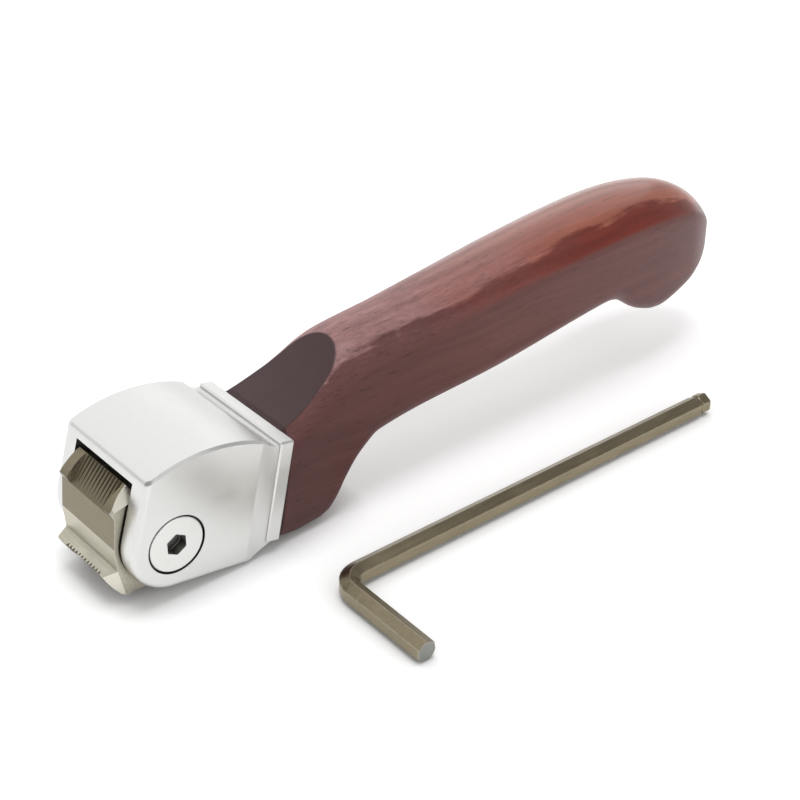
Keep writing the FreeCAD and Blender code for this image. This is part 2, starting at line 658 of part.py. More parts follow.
def hex_key():
    """L-shaped hex key with a ball end on the long arm."""
    radius = KEY_FLATS / math.sqrt(3)
    corner = Vector(KEY_CORNER_X, KEY_CORNER_Y, radius)
    along = key_direction()
    across = Vector(along.y, -along.x, 0)
    neck_start = KEY_LONG_ARM - KEY_BALL_LENGTH - KEY_NECK_LENGTH
    long_arm = key_arm(corner, along, KEY_BEND_RADIUS, neck_start)
    ball_bar = key_arm(corner, along, neck_start, KEY_LONG_ARM)
    axis_point = corner + along * (neck_start + KEY_NECK_LENGTH)
    neck = rod(KEY_NECK_DIAMETER / 2, corner + along * neck_start, KEY_LONG_ARM - neck_start, along)
    ball = Part.makeSphere(KEY_BALL_DIAMETER / 2, axis_point + along * (KEY_BALL_LENGTH / 2))
    ball = ball.common(ball_bar).fuse(neck.common(ball_bar))
    ball_end = KEY_LONG_ARM - KEY_END_CHAMFER
    face_limit = rod(2 * radius, corner + along * neck_start, ball_end - neck_start, along)
    ball = ball.common(face_limit)
    short_arm = key_arm(corner, across, KEY_BEND_RADIUS, KEY_SHORT_ARM)
    blank = rod(radius, corner, KEY_SHORT_ARM, across)
    rims = edges_where(blank, is_circle)
    far_rim = [e for e in rims if (e.CenterOfMass - corner).dot(across) > KEY_BEND_RADIUS]
    short_arm = short_arm.common(blank.makeChamfer(KEY_END_CHAMFER, far_rim))
    pivot = corner + (along + across) * KEY_BEND_RADIUS
    section = hex_prism(KEY_FLATS, corner + along * KEY_BEND_RADIUS, 1, along, Z_AXIS).Faces
    seat = min(section, key=lambda f: abs((f.CenterOfMass - corner).dot(along) - KEY_BEND_RADIUS))
    bend = seat.revolve(pivot, Z_AXIS, 90)
    return long_arm.fuse([ball, bend, short_arm]).removeSplitter()


def write(name, shape):
    shape.exportStep(os.path.join("parts", name + ".step"))
    print(name, "solids", len(shape.Solids), "valid", shape.isValid(), "volume", round(shape.Volume, 1))


def main():
    os.makedirs("parts", exist_ok=True)
    write("cutter_wheel", cutter_wheel())
    write("axle_sleeve", axle_sleeve())
    write("near_thrust_washer", thrust_washer(-1))
    write("far_thrust_washer", thrust_washer(1))
    write("clamp_screw", clamp_screw())
    write("clamp_nut", clamp_nut())
    write("head_housing", head_housing())
    write("handle_stud", handle_stud())
    write("stud_set_screw", stud_set_screw())
    write("handle_insert", handle_insert())
    write("near_locating_pin", locating_pin(-1))
    write("far_locating_pin", locating_pin(1))
    write("handle", handle())
    write("hex_key", hex_key())


main()
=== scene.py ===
"""Cross hatch cutter with a wooden handle and its loose hex key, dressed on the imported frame."""
import logging
import math
from dataclasses import dataclass, field
from enum import Enum
from functools import cache

import bmesh
import bpy
from mathutils import Matrix, Vector


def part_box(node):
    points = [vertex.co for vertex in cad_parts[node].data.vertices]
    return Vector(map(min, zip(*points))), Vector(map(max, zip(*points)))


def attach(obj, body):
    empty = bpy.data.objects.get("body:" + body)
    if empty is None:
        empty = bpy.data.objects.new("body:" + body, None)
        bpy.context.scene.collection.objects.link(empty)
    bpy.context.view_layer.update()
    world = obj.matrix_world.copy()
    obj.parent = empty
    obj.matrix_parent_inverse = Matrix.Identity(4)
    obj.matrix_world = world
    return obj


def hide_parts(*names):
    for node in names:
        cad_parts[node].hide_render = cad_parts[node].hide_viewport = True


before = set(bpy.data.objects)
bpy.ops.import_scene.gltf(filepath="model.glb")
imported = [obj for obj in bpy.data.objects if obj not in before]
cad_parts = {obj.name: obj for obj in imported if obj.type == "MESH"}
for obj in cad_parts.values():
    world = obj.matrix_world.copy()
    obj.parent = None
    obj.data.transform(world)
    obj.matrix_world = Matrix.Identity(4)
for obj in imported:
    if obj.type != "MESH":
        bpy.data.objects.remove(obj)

MM = 0.001
WELD = 0.002 * MM
SLIVER = 0.001 * MM
FLAT_ANGLE = 0.4
LOG = logging.getLogger("cross_hatch_cutter")
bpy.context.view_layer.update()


class Body(Enum):
    """Rigid bodies of the tool that pieces ride on."""

    TOOL = "tool"
    CUTTER = "cutter"
    SCREW = "screw"
    KEY = "key"


class Tree:
    """Short way to add and join the nodes of one node tree."""

    def __init__(self, tree: bpy.types.NodeTree) -> None:
        """Keeps the tree.

        Args:
            tree: The node tree that the calls work on.
        """
        self.tree = tree

    def add(self, kind: str, inputs: dict | None = None, **settings: object) -> bpy.types.Node:
        """Adds a node.

        Args:
            kind: The node's type, without the word ShaderNode in front.
            inputs: Input name or number to a value or to the socket that feeds it.
            settings: The node's own properties.

        Returns:
            The new node.
        """
        node = self.tree.nodes.new("ShaderNode" + kind)
        for name, value in settings.items():
            setattr(node, name, value)
        for name, value in (inputs or {}).items():
            if isinstance(value, bpy.types.NodeSocket):
                self.tree.links.new(value, node.inputs[name])
            else:
                node.inputs[name].default_value = value
        return node

    def math(self, operation: str, first: object, second: object = 0.0,
             clamp: bool = False) -> bpy.types.NodeSocket:
        """Adds a Math node.

        Args:
            operation: The node's operation.
            first: First value or socket.
            second: Second value or socket.
            clamp: Whether the result is kept between 0 and 1.

        Returns:
            The result's socket.
        """
        return self.add("Math", {0: first, 1: second}, operation=operation, use_clamp=clamp).outputs[0]

    def mix(self, factor: object, first: object, second: object, blend: str = "MIX") -> bpy.types.NodeSocket:
        """Mixes two colours.

        Args:
            factor: Share of the second colour.
            first: Colour or socket at 0.
            second: Colour or socket at 1.
            blend: The node's blend mode.

        Returns:
            The mixed colour's socket.
        """
        node = self.add("Mix", data_type="RGBA", blend_type=blend)
        for index, value in ((0, factor), (6, first), (7, second)):
            if isinstance(value, bpy.types.NodeSocket):
                self.tree.links.new(value, node.inputs[index])
            else:
                node.inputs[index].default_value = value
        return node.outputs[2]

    def ramp(self, value: object, low: float, high: float, start: float = 0.0,
             end: float = 1.0) -> bpy.types.NodeSocket:
        """Maps a value from one range to another, clamped.

        Args:
            value: The socket to map.
            low: Value that gives start.
            high: Value that gives end.
            start: Result at low.
            end: Result at high.

        Returns:
            The mapped value's socket.
        """
        return self.add("MapRange", {0: value, 1: low, 2: high, 3: start, 4: end}).outputs[0]

    def spread(self, value: object, start: float, end: float) -> bpy.types.NodeSocket:
        """Maps a value from the range 0 to 1 to another range.

        Args:
            value: The socket to map.
            start: Result at 0.
            end: Result at 1.

        Returns:
            The mapped value's socket.
        """
        return self.ramp(value, 0.0, 1.0, start, end)

    def waver(self, value: object, noise: object, reach: float) -> bpy.types.NodeSocket:
        """Moves a value down or up as a noise says.

        Args:
            value: The socket to move.
            noise: Noise between 0 and 1.
            reach: Furthest the value moves.

        Returns:
            The moved value's socket.
        """
        return self.math("ADD", value, self.spread(noise, -reach, reach))

    def dim(self, colour: object, tone: object) -> bpy.types.NodeSocket:
        """Multiplies a colour by a value.

        Args:
            colour: Colour or socket.
            tone: The value's socket.

        Returns:
            The new colour's socket.
        """
        grey = self.add("CombineColor", {0: tone, 1: tone, 2: tone}).outputs[0]
        return self.mix(1.0, colour, grey, "MULTIPLY")


def rgba(colour: tuple[float, float, float]) -> tuple[float, float, float, float]:
    """Gives a colour its alpha of 1."""
    return (*colour, 1.0)


class Effects:
    """Shader node groups that several finishes share, each built once."""

    EDGE_TURN = (0.995, 0.90)
    EDGE_BREAKUP = (0.35, 0.6, 0.35, 1.0)
    EDGE_SAMPLES = 4
    # Run and samples of the painted shade in grooves and corners.
    PAINTED_SHADE_RUN = (0.95, 0.35)
    PAINTED_SHADE_SAMPLES = 8
    SMUDGE_RUN = (0.32, 0.68)
    BEND_SCALE = 18.0
    BEND = (0.0, 0.006, 0.006)
    FIGURE_SCALE = 70.0
    STREAK_STRETCH = (0.035, 1.0, 1.0)
    STREAK_RUN = (0.3, 0.7)
    PORE_STRETCH = (0.09, 1.0, 1.0)
    PORE_RUN = (0.66, 0.74)

    @staticmethod
    def _group(name: str, inputs: dict[str, tuple[str, object]], outputs: dict[str, str]) -> tuple:
        """Starts a group with its sockets.

        Args:
            name: The group's name.
            inputs: Input name to socket type and default value.
            outputs: Output name to socket type.

        Returns:
            The group, a Tree on it, its input node and its output node.
        """
        group = bpy.data.node_groups.new(name, "ShaderNodeTree")
        for label, (kind, value) in inputs.items():
            socket = group.interface.new_socket(label, in_out="INPUT", socket_type="NodeSocket" + kind)
            socket.default_value = value
        for label, kind in outputs.items():
            group.interface.new_socket(label, in_out="OUTPUT", socket_type="NodeSocket" + kind)
        entry = group.nodes.new("NodeGroupInput")
        result = group.nodes.new("NodeGroupOutput")
        return group, Tree(group), entry, result

    @staticmethod
    @cache
    def edge_scuffs_and_painted_light() -> bpy.types.NodeTree:
        """Mask that is bright along edges, broken up by a fine noise; it places edge wear and painted edge
        light.
        """
        group, tree, entry, result = Effects._group(
            "edge scuffs and painted light", {"Radius": ("Float", 0.4 * MM), "Breakup": ("Float", 900.0)}, {"Mask": "Float"})
        rounded = tree.add("Bevel", {"Radius": entry.outputs["Radius"]}, samples=Effects.EDGE_SAMPLES)
        plain = tree.add("NewGeometry").outputs["Normal"]
        alike = tree.add("VectorMath", {0: rounded.outputs[0], 1: plain}, operation="DOT_PRODUCT")
        edge = tree.ramp(alike.outputs["Value"], *Effects.EDGE_TURN)
        place = tree.add("TexCoord").outputs["Object"]
        noise = tree.add("TexNoise", {"Vector": place, "Scale": entry.outputs["Breakup"], "Detail": 3.0})
        broken = tree.math("MULTIPLY", edge, tree.ramp(noise.outputs[0], *Effects.EDGE_BREAKUP))
        group.links.new(broken, result.inputs["Mask"])
        return group

    @staticmethod
    @cache
    def fine_grain() -> bpy.types.NodeTree:
        """Grain of a blasted or ground surface, stretched to taste."""
        group, tree, entry, result = Effects._group(
            "fine grain", {"Stretch": ("Vector", (1.0, 1.0, 1.0)), "Scale": ("Float", 4000.0)},
            {"Value": "Float"})
        place = tree.add("TexCoord").outputs["Object"]
        stretched = tree.add("VectorMath", {0: place, 1: entry.outputs["Stretch"]}, operation="MULTIPLY")
        noise = tree.add("TexNoise", {"Vector": stretched.outputs[0], "Scale": entry.outputs["Scale"],
                                      "Detail": 4.0, "Roughness": 0.65})
        group.links.new(noise.outputs[0], result.inputs["Value"])
        return group

    @staticmethod
    @cache
    def smudges() -> bpy.types.NodeTree:
        """Soft uneven patches, as handling leaves on plate and lacquer."""
        group, tree, entry, result = Effects._group(
            "smudges", {"Scale": ("Float", 120.0)}, {"Value": "Float"})
        place = tree.add("TexCoord").outputs["Object"]
        noise = tree.add("TexNoise", {"Vector": place, "Scale": entry.outputs["Scale"], "Detail": 5.0,
                                      "Roughness": 0.55, "Distortion": 0.6})
        group.links.new(tree.ramp(noise.outputs[0], *Effects.SMUDGE_RUN), result.inputs["Value"])
        return group

    @staticmethod
    @cache
    def cavity_painted_shade() -> bpy.types.NodeTree:
        """Mask that is bright in grooves and corners, where it paints shade."""
        group, tree, entry, result = Effects._group(
            "painted cavity shade", {"Reach": ("Float", 0.8 * MM)}, {"Mask": "Float"})
        shade = tree.add("AmbientOcclusion", {"Distance": entry.outputs["Reach"]},
                         samples=Effects.PAINTED_SHADE_SAMPLES)
        group.links.new(tree.ramp(shade.outputs["AO"], *Effects.PAINTED_SHADE_RUN), result.inputs["Mask"])
        return group

    @staticmethod
    @cache
    def wood_grain() -> bpy.types.NodeTree:
        """Streaks, broad figure and pores that run along X."""
        group, tree, entry, result = Effects._group(
            "wood grain", {"Streaks": ("Float", 420.0), "Pores": ("Float", 2600.0)},
            {"Streak": "Float", "Figure": "Float", "Pore": "Float"})
        place = tree.add("TexCoord").outputs["Object"]
        bend = tree.add("TexNoise", {"Vector": place, "Scale": Effects.BEND_SCALE, "Detail": 2.0})
        moved = tree.add("VectorMath", {0: bend.outputs["Color"], 1: Effects.BEND}, operation="MULTIPLY")
        bent = tree.add("VectorMath", {0: place, 1: moved.outputs[0]}, operation="ADD").outputs[0]
        long_way, short_way = (
            tree.add("VectorMath", {0: bent, 1: stretch}, operation="MULTIPLY").outputs[0]
            for stretch in (Effects.STREAK_STRETCH, Effects.PORE_STRETCH))
        streak = tree.add("TexNoise", {"Vector": long_way, "Scale": entry.outputs["Streaks"],
                                       "Detail": 7.0, "Roughness": 0.62})
        figure = tree.add("TexNoise", {"Vector": long_way, "Scale": Effects.FIGURE_SCALE,
                                       "Detail": 3.0, "Roughness": 0.5})
        pore = tree.add("TexNoise", {"Vector": short_way, "Scale": entry.outputs["Pores"], "Detail": 1.0})
        for noise, run, label in ((streak, Effects.STREAK_RUN, "Streak"),
                                  (figure, Effects.STREAK_RUN, "Figure"),
                                  (pore, Effects.PORE_RUN, "Pore")):
            group.links.new(tree.ramp(noise.outputs[0], *run), result.inputs[label])
        return group


def start_material(name: str) -> tuple[bpy.types.Material, Tree, bpy.types.Node]:
    """Makes a material with an empty tree, a Principled BSDF and an output.

    Args:
        name: The material's name.

    Returns:
        The material, a Tree on its nodes, and the Principled BSDF.
    """
    material = bpy.data.materials.new(name)
    material.use_nodes = True
    material.node_tree.nodes.clear()
    tree = Tree(material.node_tree)
    shader = tree.add("BsdfPrincipled")
    tree.add("OutputMaterial", {"Surface": shader.outputs[0]})
    return material, tree, shader


def use_group(tree: Tree, group: bpy.types.NodeTree,
              inputs: dict[str, object] | None = None) -> bpy.types.Node:
    """Places a shared group in a material.

    Args:
        tree: The material's tree.
        group: The group to place.
        inputs: Values for the group's inputs.

    Returns:
        The group's node.
    """
    node = tree.add("Group", node_tree=group)
    for name, value in (inputs or {}).items():
        node.inputs[name].default_value = value
    return node


@dataclass(frozen=True)
class MetalFinish:
    """Metal surface with a fine grain, smudges, edges coloured for wear and painted light, and painted shade
    darkening its grooves and corners.
    """

    name: str
    colour: tuple[float, float, float]
    # Edge colour for wear and painted light: lighter as a painted highlight, darker as a painted shade line.
    edge_colour: tuple[float, float, float]
    # Colour of the painted shade in grooves and corners.
    painted_shade_colour: tuple[float, float, float] = (0.05, 0.04, 0.03)
    roughness: tuple[float, float] = (0.28, 0.42)
    grain_scale: float = 4000.0
    grain_stretch: tuple[float, float, float] = (1.0, 1.0, 1.0)
    grain_depth: float = 0.010 * MM
    grain_tone: float = 0.12
    grain_run: tuple[float, float] = (0.25, 0.75)
    grain_gain: float = 0.3
    patch_shares: tuple[float, float] = (0.7, 0.3)
    edge_radius: float = 0.35 * MM
    edge_strength: float = 0.6
    # Reach and strength of that painted shade.
    painted_shade_reach: float = 0.8 * MM
    painted_shade_strength: float = 0.35

    def build(self) -> bpy.types.Material:
        """Makes the material."""
        material, tree, shader = start_material(self.name)
        links = material.node_tree.links
        grain = use_group(tree, Effects.fine_grain(),
                          {"Stretch": self.grain_stretch, "Scale": self.grain_scale})
        smudge = use_group(tree, Effects.smudges())
        # Edges take the edge colour: wear together with painted light, a painted highlight where that colour
        # is lighter than the metal and a painted shade line where it is darker.
        edge_mark_node = use_group(tree, Effects.edge_scuffs_and_painted_light(), {"Radius": self.edge_radius})
        cavity_shade_mask = use_group(tree, Effects.cavity_painted_shade(), {"Reach": self.painted_shade_reach})
        tone = tree.ramp(grain.outputs[0], *self.grain_run, 1.0 - self.grain_tone,
                         1.0 + self.grain_tone * self.grain_gain)
        toned = tree.dim(rgba(self.colour), tone)
        worn = tree.math("MULTIPLY", edge_mark_node.outputs[0], self.edge_strength)
        edged = tree.mix(worn, toned, rgba(self.edge_colour))
        # Painted shade: where the cavity mask is bright, grooves, sockets and corners take the darker shade
        # colour.
        cavity_shade_share = tree.math("MULTIPLY", cavity_shade_mask.outputs[0], self.painted_shade_strength)
        links.new(tree.mix(cavity_shade_share, edged, rgba(self.painted_shade_colour)), shader.inputs["Base Color"])
        shader.inputs["Metallic"].default_value = 1.0
        smudge_share, grain_share = self.patch_shares
        patch = tree.math("ADD", tree.math("MULTIPLY", smudge.outputs[0], smudge_share),
                          tree.math("MULTIPLY", grain.outputs[0], grain_share))
        links.new(tree.spread(patch, *self.roughness), shader.inputs["Roughness"])
        bump = tree.add("Bump", {"Height": grain.outputs[0], "Strength": 1.0, "Distance": self.grain_depth})
        links.new(bump.outputs[0], shader.inputs["Normal"])
        return material


@dataclass(frozen=True)
class WoodFinish:
    """Red-brown wood whose lacquer is worn dull towards the guard and glossy towards the pommel, with painted
    light: a lighter top than sides, a painted sheen on the dull crown, a painted shade band along the near
    top corner and a painted shade line at the joint with the collar.
    """

    name: str
    # Flank colours go on the sides and crown colours on the top, the top lighter: painted light.
    flank: tuple[float, float, float] = (0.118, 0.042, 0.038)
    flank_streak: tuple[float, float, float] = (0.178, 0.068, 0.060)
    crown: tuple[float, float, float] = (0.230, 0.046, 0.028)
    crown_streak: tuple[float, float, float] = (0.400, 0.125, 0.075)
    # Corner colours: a painted shade band along the near top corner, where the lacquer reflects nothing
    # bright.
    corner: tuple[float, float, float] = (0.175, 0.024, 0.012)
    # The dull crown colour is the wood with a painted mauve sheen over the dull lacquer.
    dull_crown_sheen: tuple[float, float, float] = (0.400, 0.210, 0.205)
    dull_streak: tuple[float, float, float] = (0.215, 0.100, 0.098)
    dull_corner: tuple[float, float, float] = (0.110, 0.036, 0.034)
    scoop: tuple[float, float, float] = (0.062, 0.030, 0.032)
    pore: tuple[float, float, float] = (0.040, 0.014, 0.014)
    roughness: tuple[float, float] = (0.52, 0.36)
    coat: tuple[float, float] = (0.08, 0.55)
    flank_coat: float = 0.10
    coat_roughness: float = 0.14
    specular: float = 0.30
    smudge_scale: float = 60.0
    gloss_run: tuple[float, float] = (62 * MM, 104 * MM)
    gloss_wave: float = 9 * MM
    upward_run: tuple[float, float] = (0.45, 0.68)
    upward_wave: float = 0.05
    guard_run: tuple[float, float] = (28 * MM, 80 * MM)
    guard_tone: float = 0.66
    # Tilt of the normal towards -Y, and its waviness, that place the painted shade band.
    corner_tilt: tuple[float, float] = (-0.39, -0.46)
    corner_waves: tuple[float, float] = (0.08, 0.07)
    dull_shift: float = 0.15
    dull_corner_share: float = 0.85
    pore_share: float = 0.55
    streak_tone: tuple[float, float] = (0.72, 1.16)
    speckle_scale: float = 1700.0
    speckle_stretch: tuple[float, float, float] = (0.3, 1.0, 1.0)
    speckle_run: tuple[float, float] = (0.3, 0.7)
    speckle_tone: tuple[float, float] = (0.80, 1.18)
    scoop_rim: tuple[float, float] = (0.25 * MM, 0.05 * MM)
    roughness_wave: float = 0.05
    streak_height: float = 0.5
    bump_strength: float = 0.6
    bump_depth: float = 0.03 * MM
    # A painted shade line on the wood just behind the collar.
    joint_shade_line: tuple[float, float] = (1.15 * MM, 0.85 * MM)
    joint_shade_share: float = 0.9

    def build(self, shape: "HandleShape") -> bpy.types.Material:
        """Makes the material.

        Args:
            shape: The handle's shape, for the places of its scoop and its joint with the head.

        Returns:
            The new material.
        """
        material, tree, shader = start_material(self.name)
        links = material.node_tree.links
        grain = use_group(tree, Effects.wood_grain())
        streak, figure, pore = (grain.outputs[label] for label in ("Streak", "Figure", "Pore"))
        smudge = use_group(tree, Effects.smudges(), {"Scale": self.smudge_scale}).outputs[0]
        coordinates = tree.add("TexCoord")
        place = tree.add("SeparateXYZ", {0: coordinates.outputs["Object"]})
        facing = tree.add("SeparateXYZ", {0: coordinates.outputs["Normal"]})
        along = place.outputs[0]
        gloss = tree.ramp(tree.waver(along, smudge, self.gloss_wave), *self.gloss_run)
        # Faces turned up take the crown colours and the sides the darker flank colours: painted light.
        upward = tree.ramp(tree.waver(facing.outputs[2], figure, self.upward_wave), *self.upward_run)
        # Painted shade: faces turned towards -Y near the top take the dark corner colours, a band along the
        # near top corner.
        tilt = facing.outputs[1]
        for noise, wave in zip((smudge, streak), self.corner_waves):
            tilt = tree.waver(tilt, noise, wave)
        shifted = tree.math("ADD", tilt, tree.spread(gloss, self.dull_shift, 0.0))
        corner = tree.ramp(shifted, *self.corner_tilt)
        speckle = use_group(tree, Effects.fine_grain(),
                            {"Stretch": self.speckle_stretch, "Scale": self.speckle_scale})
        flank = tree.mix(streak, rgba(self.flank), rgba(self.flank_streak))
        flank = tree.dim(flank, tree.ramp(along, *self.guard_run, self.guard_tone, 1.0))
        glossy = tree.mix(figure, rgba(self.crown), rgba(self.crown_streak))
        glossy = tree.mix(corner, glossy, rgba(self.corner))
        glossy = tree.dim(glossy, tree.spread(streak, *self.streak_tone))
        # The dull crown takes a painted sheen over its streaks.
        dull = tree.mix(streak, rgba(self.dull_streak), rgba(self.dull_crown_sheen))
        # In the dull part the band takes the dull corner colour, also painted shade.
        dull = tree.mix(tree.math("MULTIPLY", corner, self.dull_corner_share), dull, rgba(self.dull_corner))
        dull = tree.dim(dull, tree.ramp(speckle.outputs[0], *self.speckle_run, *self.speckle_tone))
        body = tree.mix(upward, flank, tree.mix(gloss, dull, glossy))
        pored = tree.mix(tree.math("MULTIPLY", pore, self.pore_share), body, rgba(self.pore))
        centre = shape.scoop_centre()
        aside = tree.math("SUBTRACT", along, centre.x)
        above = tree.math("SUBTRACT", place.outputs[2], centre.z)
        squares = [tree.math("MULTIPLY", reach, reach) for reach in (aside, above)]
        distance = tree.math("SQRT", tree.math("ADD", *squares))
        # The thumb scoop takes its own darker colour.
        in_scoop = tree.ramp(distance, *(shape.scoop_radius * MM + rim for rim in self.scoop_rim))
        with_scoop_colour = tree.mix(in_scoop, pored, rgba(self.scoop))
        # Painted shade: a thin line of pore colour on the wood just behind the collar, where the gap's shadow
        # falls.
        slope, front = shape.front_line()
        leaning = tree.math("SUBTRACT", along, tree.math("MULTIPLY", place.outputs[2], slope))
        behind = tree.math("SUBTRACT", leaning, front)
        shaded = tree.math("MULTIPLY", tree.ramp(behind, *self.joint_shade_line), self.joint_shade_share)
        links.new(tree.mix(shaded, with_scoop_colour, rgba(self.pore)), shader.inputs["Base Color"])
        rough = tree.waver(tree.spread(gloss, *self.roughness), streak, self.roughness_wave)
        links.new(rough, shader.inputs["Roughness"])
        coat = tree.math("MULTIPLY", tree.spread(gloss, *self.coat),
                         tree.spread(upward, self.flank_coat, 1.0))
        links.new(coat, shader.inputs["Coat Weight"])
        shader.inputs["Coat Roughness"].default_value = self.coat_roughness
        shader.inputs["Specular IOR Level"].default_value = self.specular
        height = tree.math("SUBTRACT", tree.math("MULTIPLY", streak, self.streak_height), pore)
        bump = tree.add("Bump", {"Height": height, "Strength": self.bump_strength,
                                 "Distance": self.bump_depth})
        links.new(bump.outputs[0], shader.inputs["Normal"])
        return material


@dataclass(frozen=True)
class FloorFinish:
    """Pale matt floor that keeps the object's shadow, with a painted contact shadow near the object, and
    shows white to the camera.
    """

    name: str = "pale floor"
    colour: tuple[float, float, float] = (0.86, 0.86, 0.86)
    patch_scale: float = 3.0
    patch_tone: float = 0.99
    roughness: float = 0.8
    lift: float = 0.37
    # Painted contact shadow: how low the white glow drops near the object, and how far that reaches.
    contact_lift: float = 0.02
    contact_reach: float = 8.5 * MM
    contact_run: tuple[float, float] = (0.3, 1.0)
    contact_samples: int = 8
    far_run: tuple[float, float] = (0.45, 1.3)

    def build(self) -> bpy.types.Material:
        """Makes the material."""
        material, tree, shader = start_material(self.name)
        links = material.node_tree.links
        patches = use_group(tree, Effects.smudges(), {"Scale": self.patch_scale})
        darker = tuple(self.patch_tone * channel for channel in self.colour)
        links.new(tree.mix(patches.outputs[0], rgba(self.colour), rgba(darker)), shader.inputs["Base Color"])
        shader.inputs["Roughness"].default_value = self.roughness
        shader.inputs["Specular IOR Level"].default_value = 0.0
        ray = tree.add("LightPath")
        seen = tree.math("ADD", ray.outputs["Is Camera Ray"], ray.outputs["Is Glossy Ray"], clamp=True)
        # Painted contact shadow: the floor's white glow drops where ambient occlusion finds the object close
        # by.
        shade_under = tree.add("AmbientOcclusion", {"Distance": self.contact_reach},
                               samples=self.contact_samples)
        near = tree.ramp(shade_under.outputs["AO"], *self.contact_run, self.contact_lift, self.lift)
        away = tree.add("VectorMath", {0: tree.add("TexCoord").outputs["Object"]}, operation="LENGTH")
        lift = tree.math("MAXIMUM", near, tree.ramp(away.outputs["Value"], *self.far_run))
        links.new(tree.math("MULTIPLY", seen, lift), shader.inputs["Emission Strength"])
        shader.inputs["Emission Color"].default_value = (1.0, 1.0, 1.0, 1.0)
        return material


class Finishes:
    """The tool's finishes, each made once."""

    def __init__(self) -> None:
        """Builds every material."""
        # The nickel's darker edge colour paints a shade line along its edges; its light shade setting paints
        # faint shade in its corners.
        self.nickel = MetalFinish(
            "satin nickel plate", (0.745, 0.745, 0.73), (0.46, 0.46, 0.45), roughness=(0.27, 0.40),
            grain_tone=0.08, edge_radius=0.25 * MM, painted_shade_strength=0.25).build()
        # The screw's strong shade setting paints deep shade in its hex socket and recesses.
        self.screw = MetalFinish(
            "plated screw", (0.78, 0.78, 0.76), (0.92, 0.92, 0.90), (0.03, 0.025, 0.015),
            roughness=(0.24, 0.36), grain_tone=0.08, painted_shade_reach=3.0 * MM, painted_shade_strength=0.95).build()
        # The cutter's shade setting paints shade in its grooves and gullets.
        self.cutter = MetalFinish(
            "ground cutter steel", (0.53, 0.50, 0.41), (0.86, 0.83, 0.75), (0.055, 0.040, 0.022),
            roughness=(0.26, 0.40), grain_scale=3000.0, grain_stretch=(1.0, 0.06, 1.0), grain_tone=0.22,
            painted_shade_reach=1.7 * MM, painted_shade_strength=0.85).build()
        # The bright facet colour is a painted highlight on the wheel's near-facing bevels and its tooth
        # walls.
        self.facet = MetalFinish(
            "painted highlight facet", (0.72, 0.69, 0.60), (0.92, 0.90, 0.84), roughness=(0.22, 0.34),
            painted_shade_strength=0.2).build()
        # The dark toothed-land colour paints the shade and dark reflection under the lip onto every lobe's
        # teeth; its shade setting paints shade in the tooth grooves.
        self.toothed = MetalFinish(
            "toothed land", (0.235, 0.205, 0.14), (0.66, 0.62, 0.52), (0.045, 0.032, 0.018),
            roughness=(0.26, 0.40), grain_scale=3000.0, grain_tone=0.2, edge_radius=0.12 * MM,
            edge_strength=0.5, painted_shade_reach=2.6 * MM, painted_shade_strength=0.65).build()
        self.dark_steel = MetalFinish(
            "dark nickel", (0.300, 0.256, 0.170), (0.62, 0.58, 0.50), roughness=(0.24, 0.40),
            grain_scale=2500.0, grain_stretch=(0.08, 1.0, 1.0), grain_tone=0.25).build()
        self.plain_steel = MetalFinish("plain steel", (0.55, 0.55, 0.54), (0.80, 0.80, 0.78)).build()
        self.key_end = MetalFinish(
            "sheared key end", (0.28, 0.28, 0.26), (0.60, 0.60, 0.58), roughness=(0.35, 0.5)).build()
        self.brass = MetalFinish("plain brass", (0.70, 0.52, 0.22), (0.86, 0.70, 0.38)).build()
        self.wood = WoodFinish("lacquered rosewood").build(HandleShape())
        self.floor = FloorFinish().build()


def set_material(piece: bpy.types.Object, material: bpy.types.Material) -> None:
    """Gives a piece one material in place of all it had."""
    piece.data.materials.clear()
    piece.data.materials.append(material)


def shade(piece: bpy.types.Object, angle: float) -> None:
    """Shades a piece smooth, with sharp edges above an angle.

    Args:
        piece: The mesh object.
        angle: Edge angle in degrees from which an edge stays sharp.
    """
    piece.data.polygons.foreach_set("use_smooth", [True] * len(piece.data.polygons))
    piece.data.set_sharp_from_angle(angle=math.radians(angle))


def new_piece(name: str, bm: bmesh.types.BMesh) -> bpy.types.Object:
    """Turns a bmesh into an object in the scene.

    Args:
        name: The object's name.
        bm: The bmesh, freed by this call.

    Returns:
        The new object.
    """
    mesh = bpy.data.meshes.new(name)
    bm.to_mesh(mesh)
    bm.free()
    piece = bpy.data.objects.new(name, mesh)
    bpy.context.scene.collection.objects.link(piece)
    return piece


def softened(node: str, name: str, radius: float, segments: int = 2, angle: float = 28.0,
             crease: float = 40.0) -> bpy.types.Object:
    """Copies a CAD node with its edges rounded, and replaces the node by the copy.

    Args:
        node: The CAD node.
        name: The new piece's name.
        radius: Width of the rounding in metres.
        segments: Faces across the rounding.
        angle: Edge angle in degrees from which an edge is rounded.
        crease: Edge angle in degrees from which the shading breaks.

    Returns:
        The new piece.
    """
    bm = bmesh.new()
    bm.from_mesh(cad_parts[node].data)
    bmesh.ops.remove_doubles(bm, verts=bm.verts, dist=WELD)
    bmesh.ops.dissolve_degenerate(bm, edges=bm.edges, dist=SLIVER)
    bmesh.ops.dissolve_limit(bm, angle_limit=math.radians(FLAT_ANGLE), verts=bm.verts, edges=bm.edges,
                             use_dissolve_boundaries=False, delimit={"NORMAL"})
    sharp = [edge for edge in bm.edges
             if len(edge.link_faces) == 2 and edge.calc_face_angle(0.0) > math.radians(angle)]
    bmesh.ops.bevel(bm, geom=sharp, offset=radius, offset_type="OFFSET", segments=segments, profile=0.5,
                    affect="EDGES", material=-1, clamp_overlap=True)
    bmesh.ops.recalc_face_normals(bm, faces=bm.faces)
    piece = new_piece(name, bm)
    shade(piece, crease)
    weighted = piece.modifiers.new("even shading", "WEIGHTED_NORMAL")
    weighted.keep_sharp = True
    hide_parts(node)
    return piece


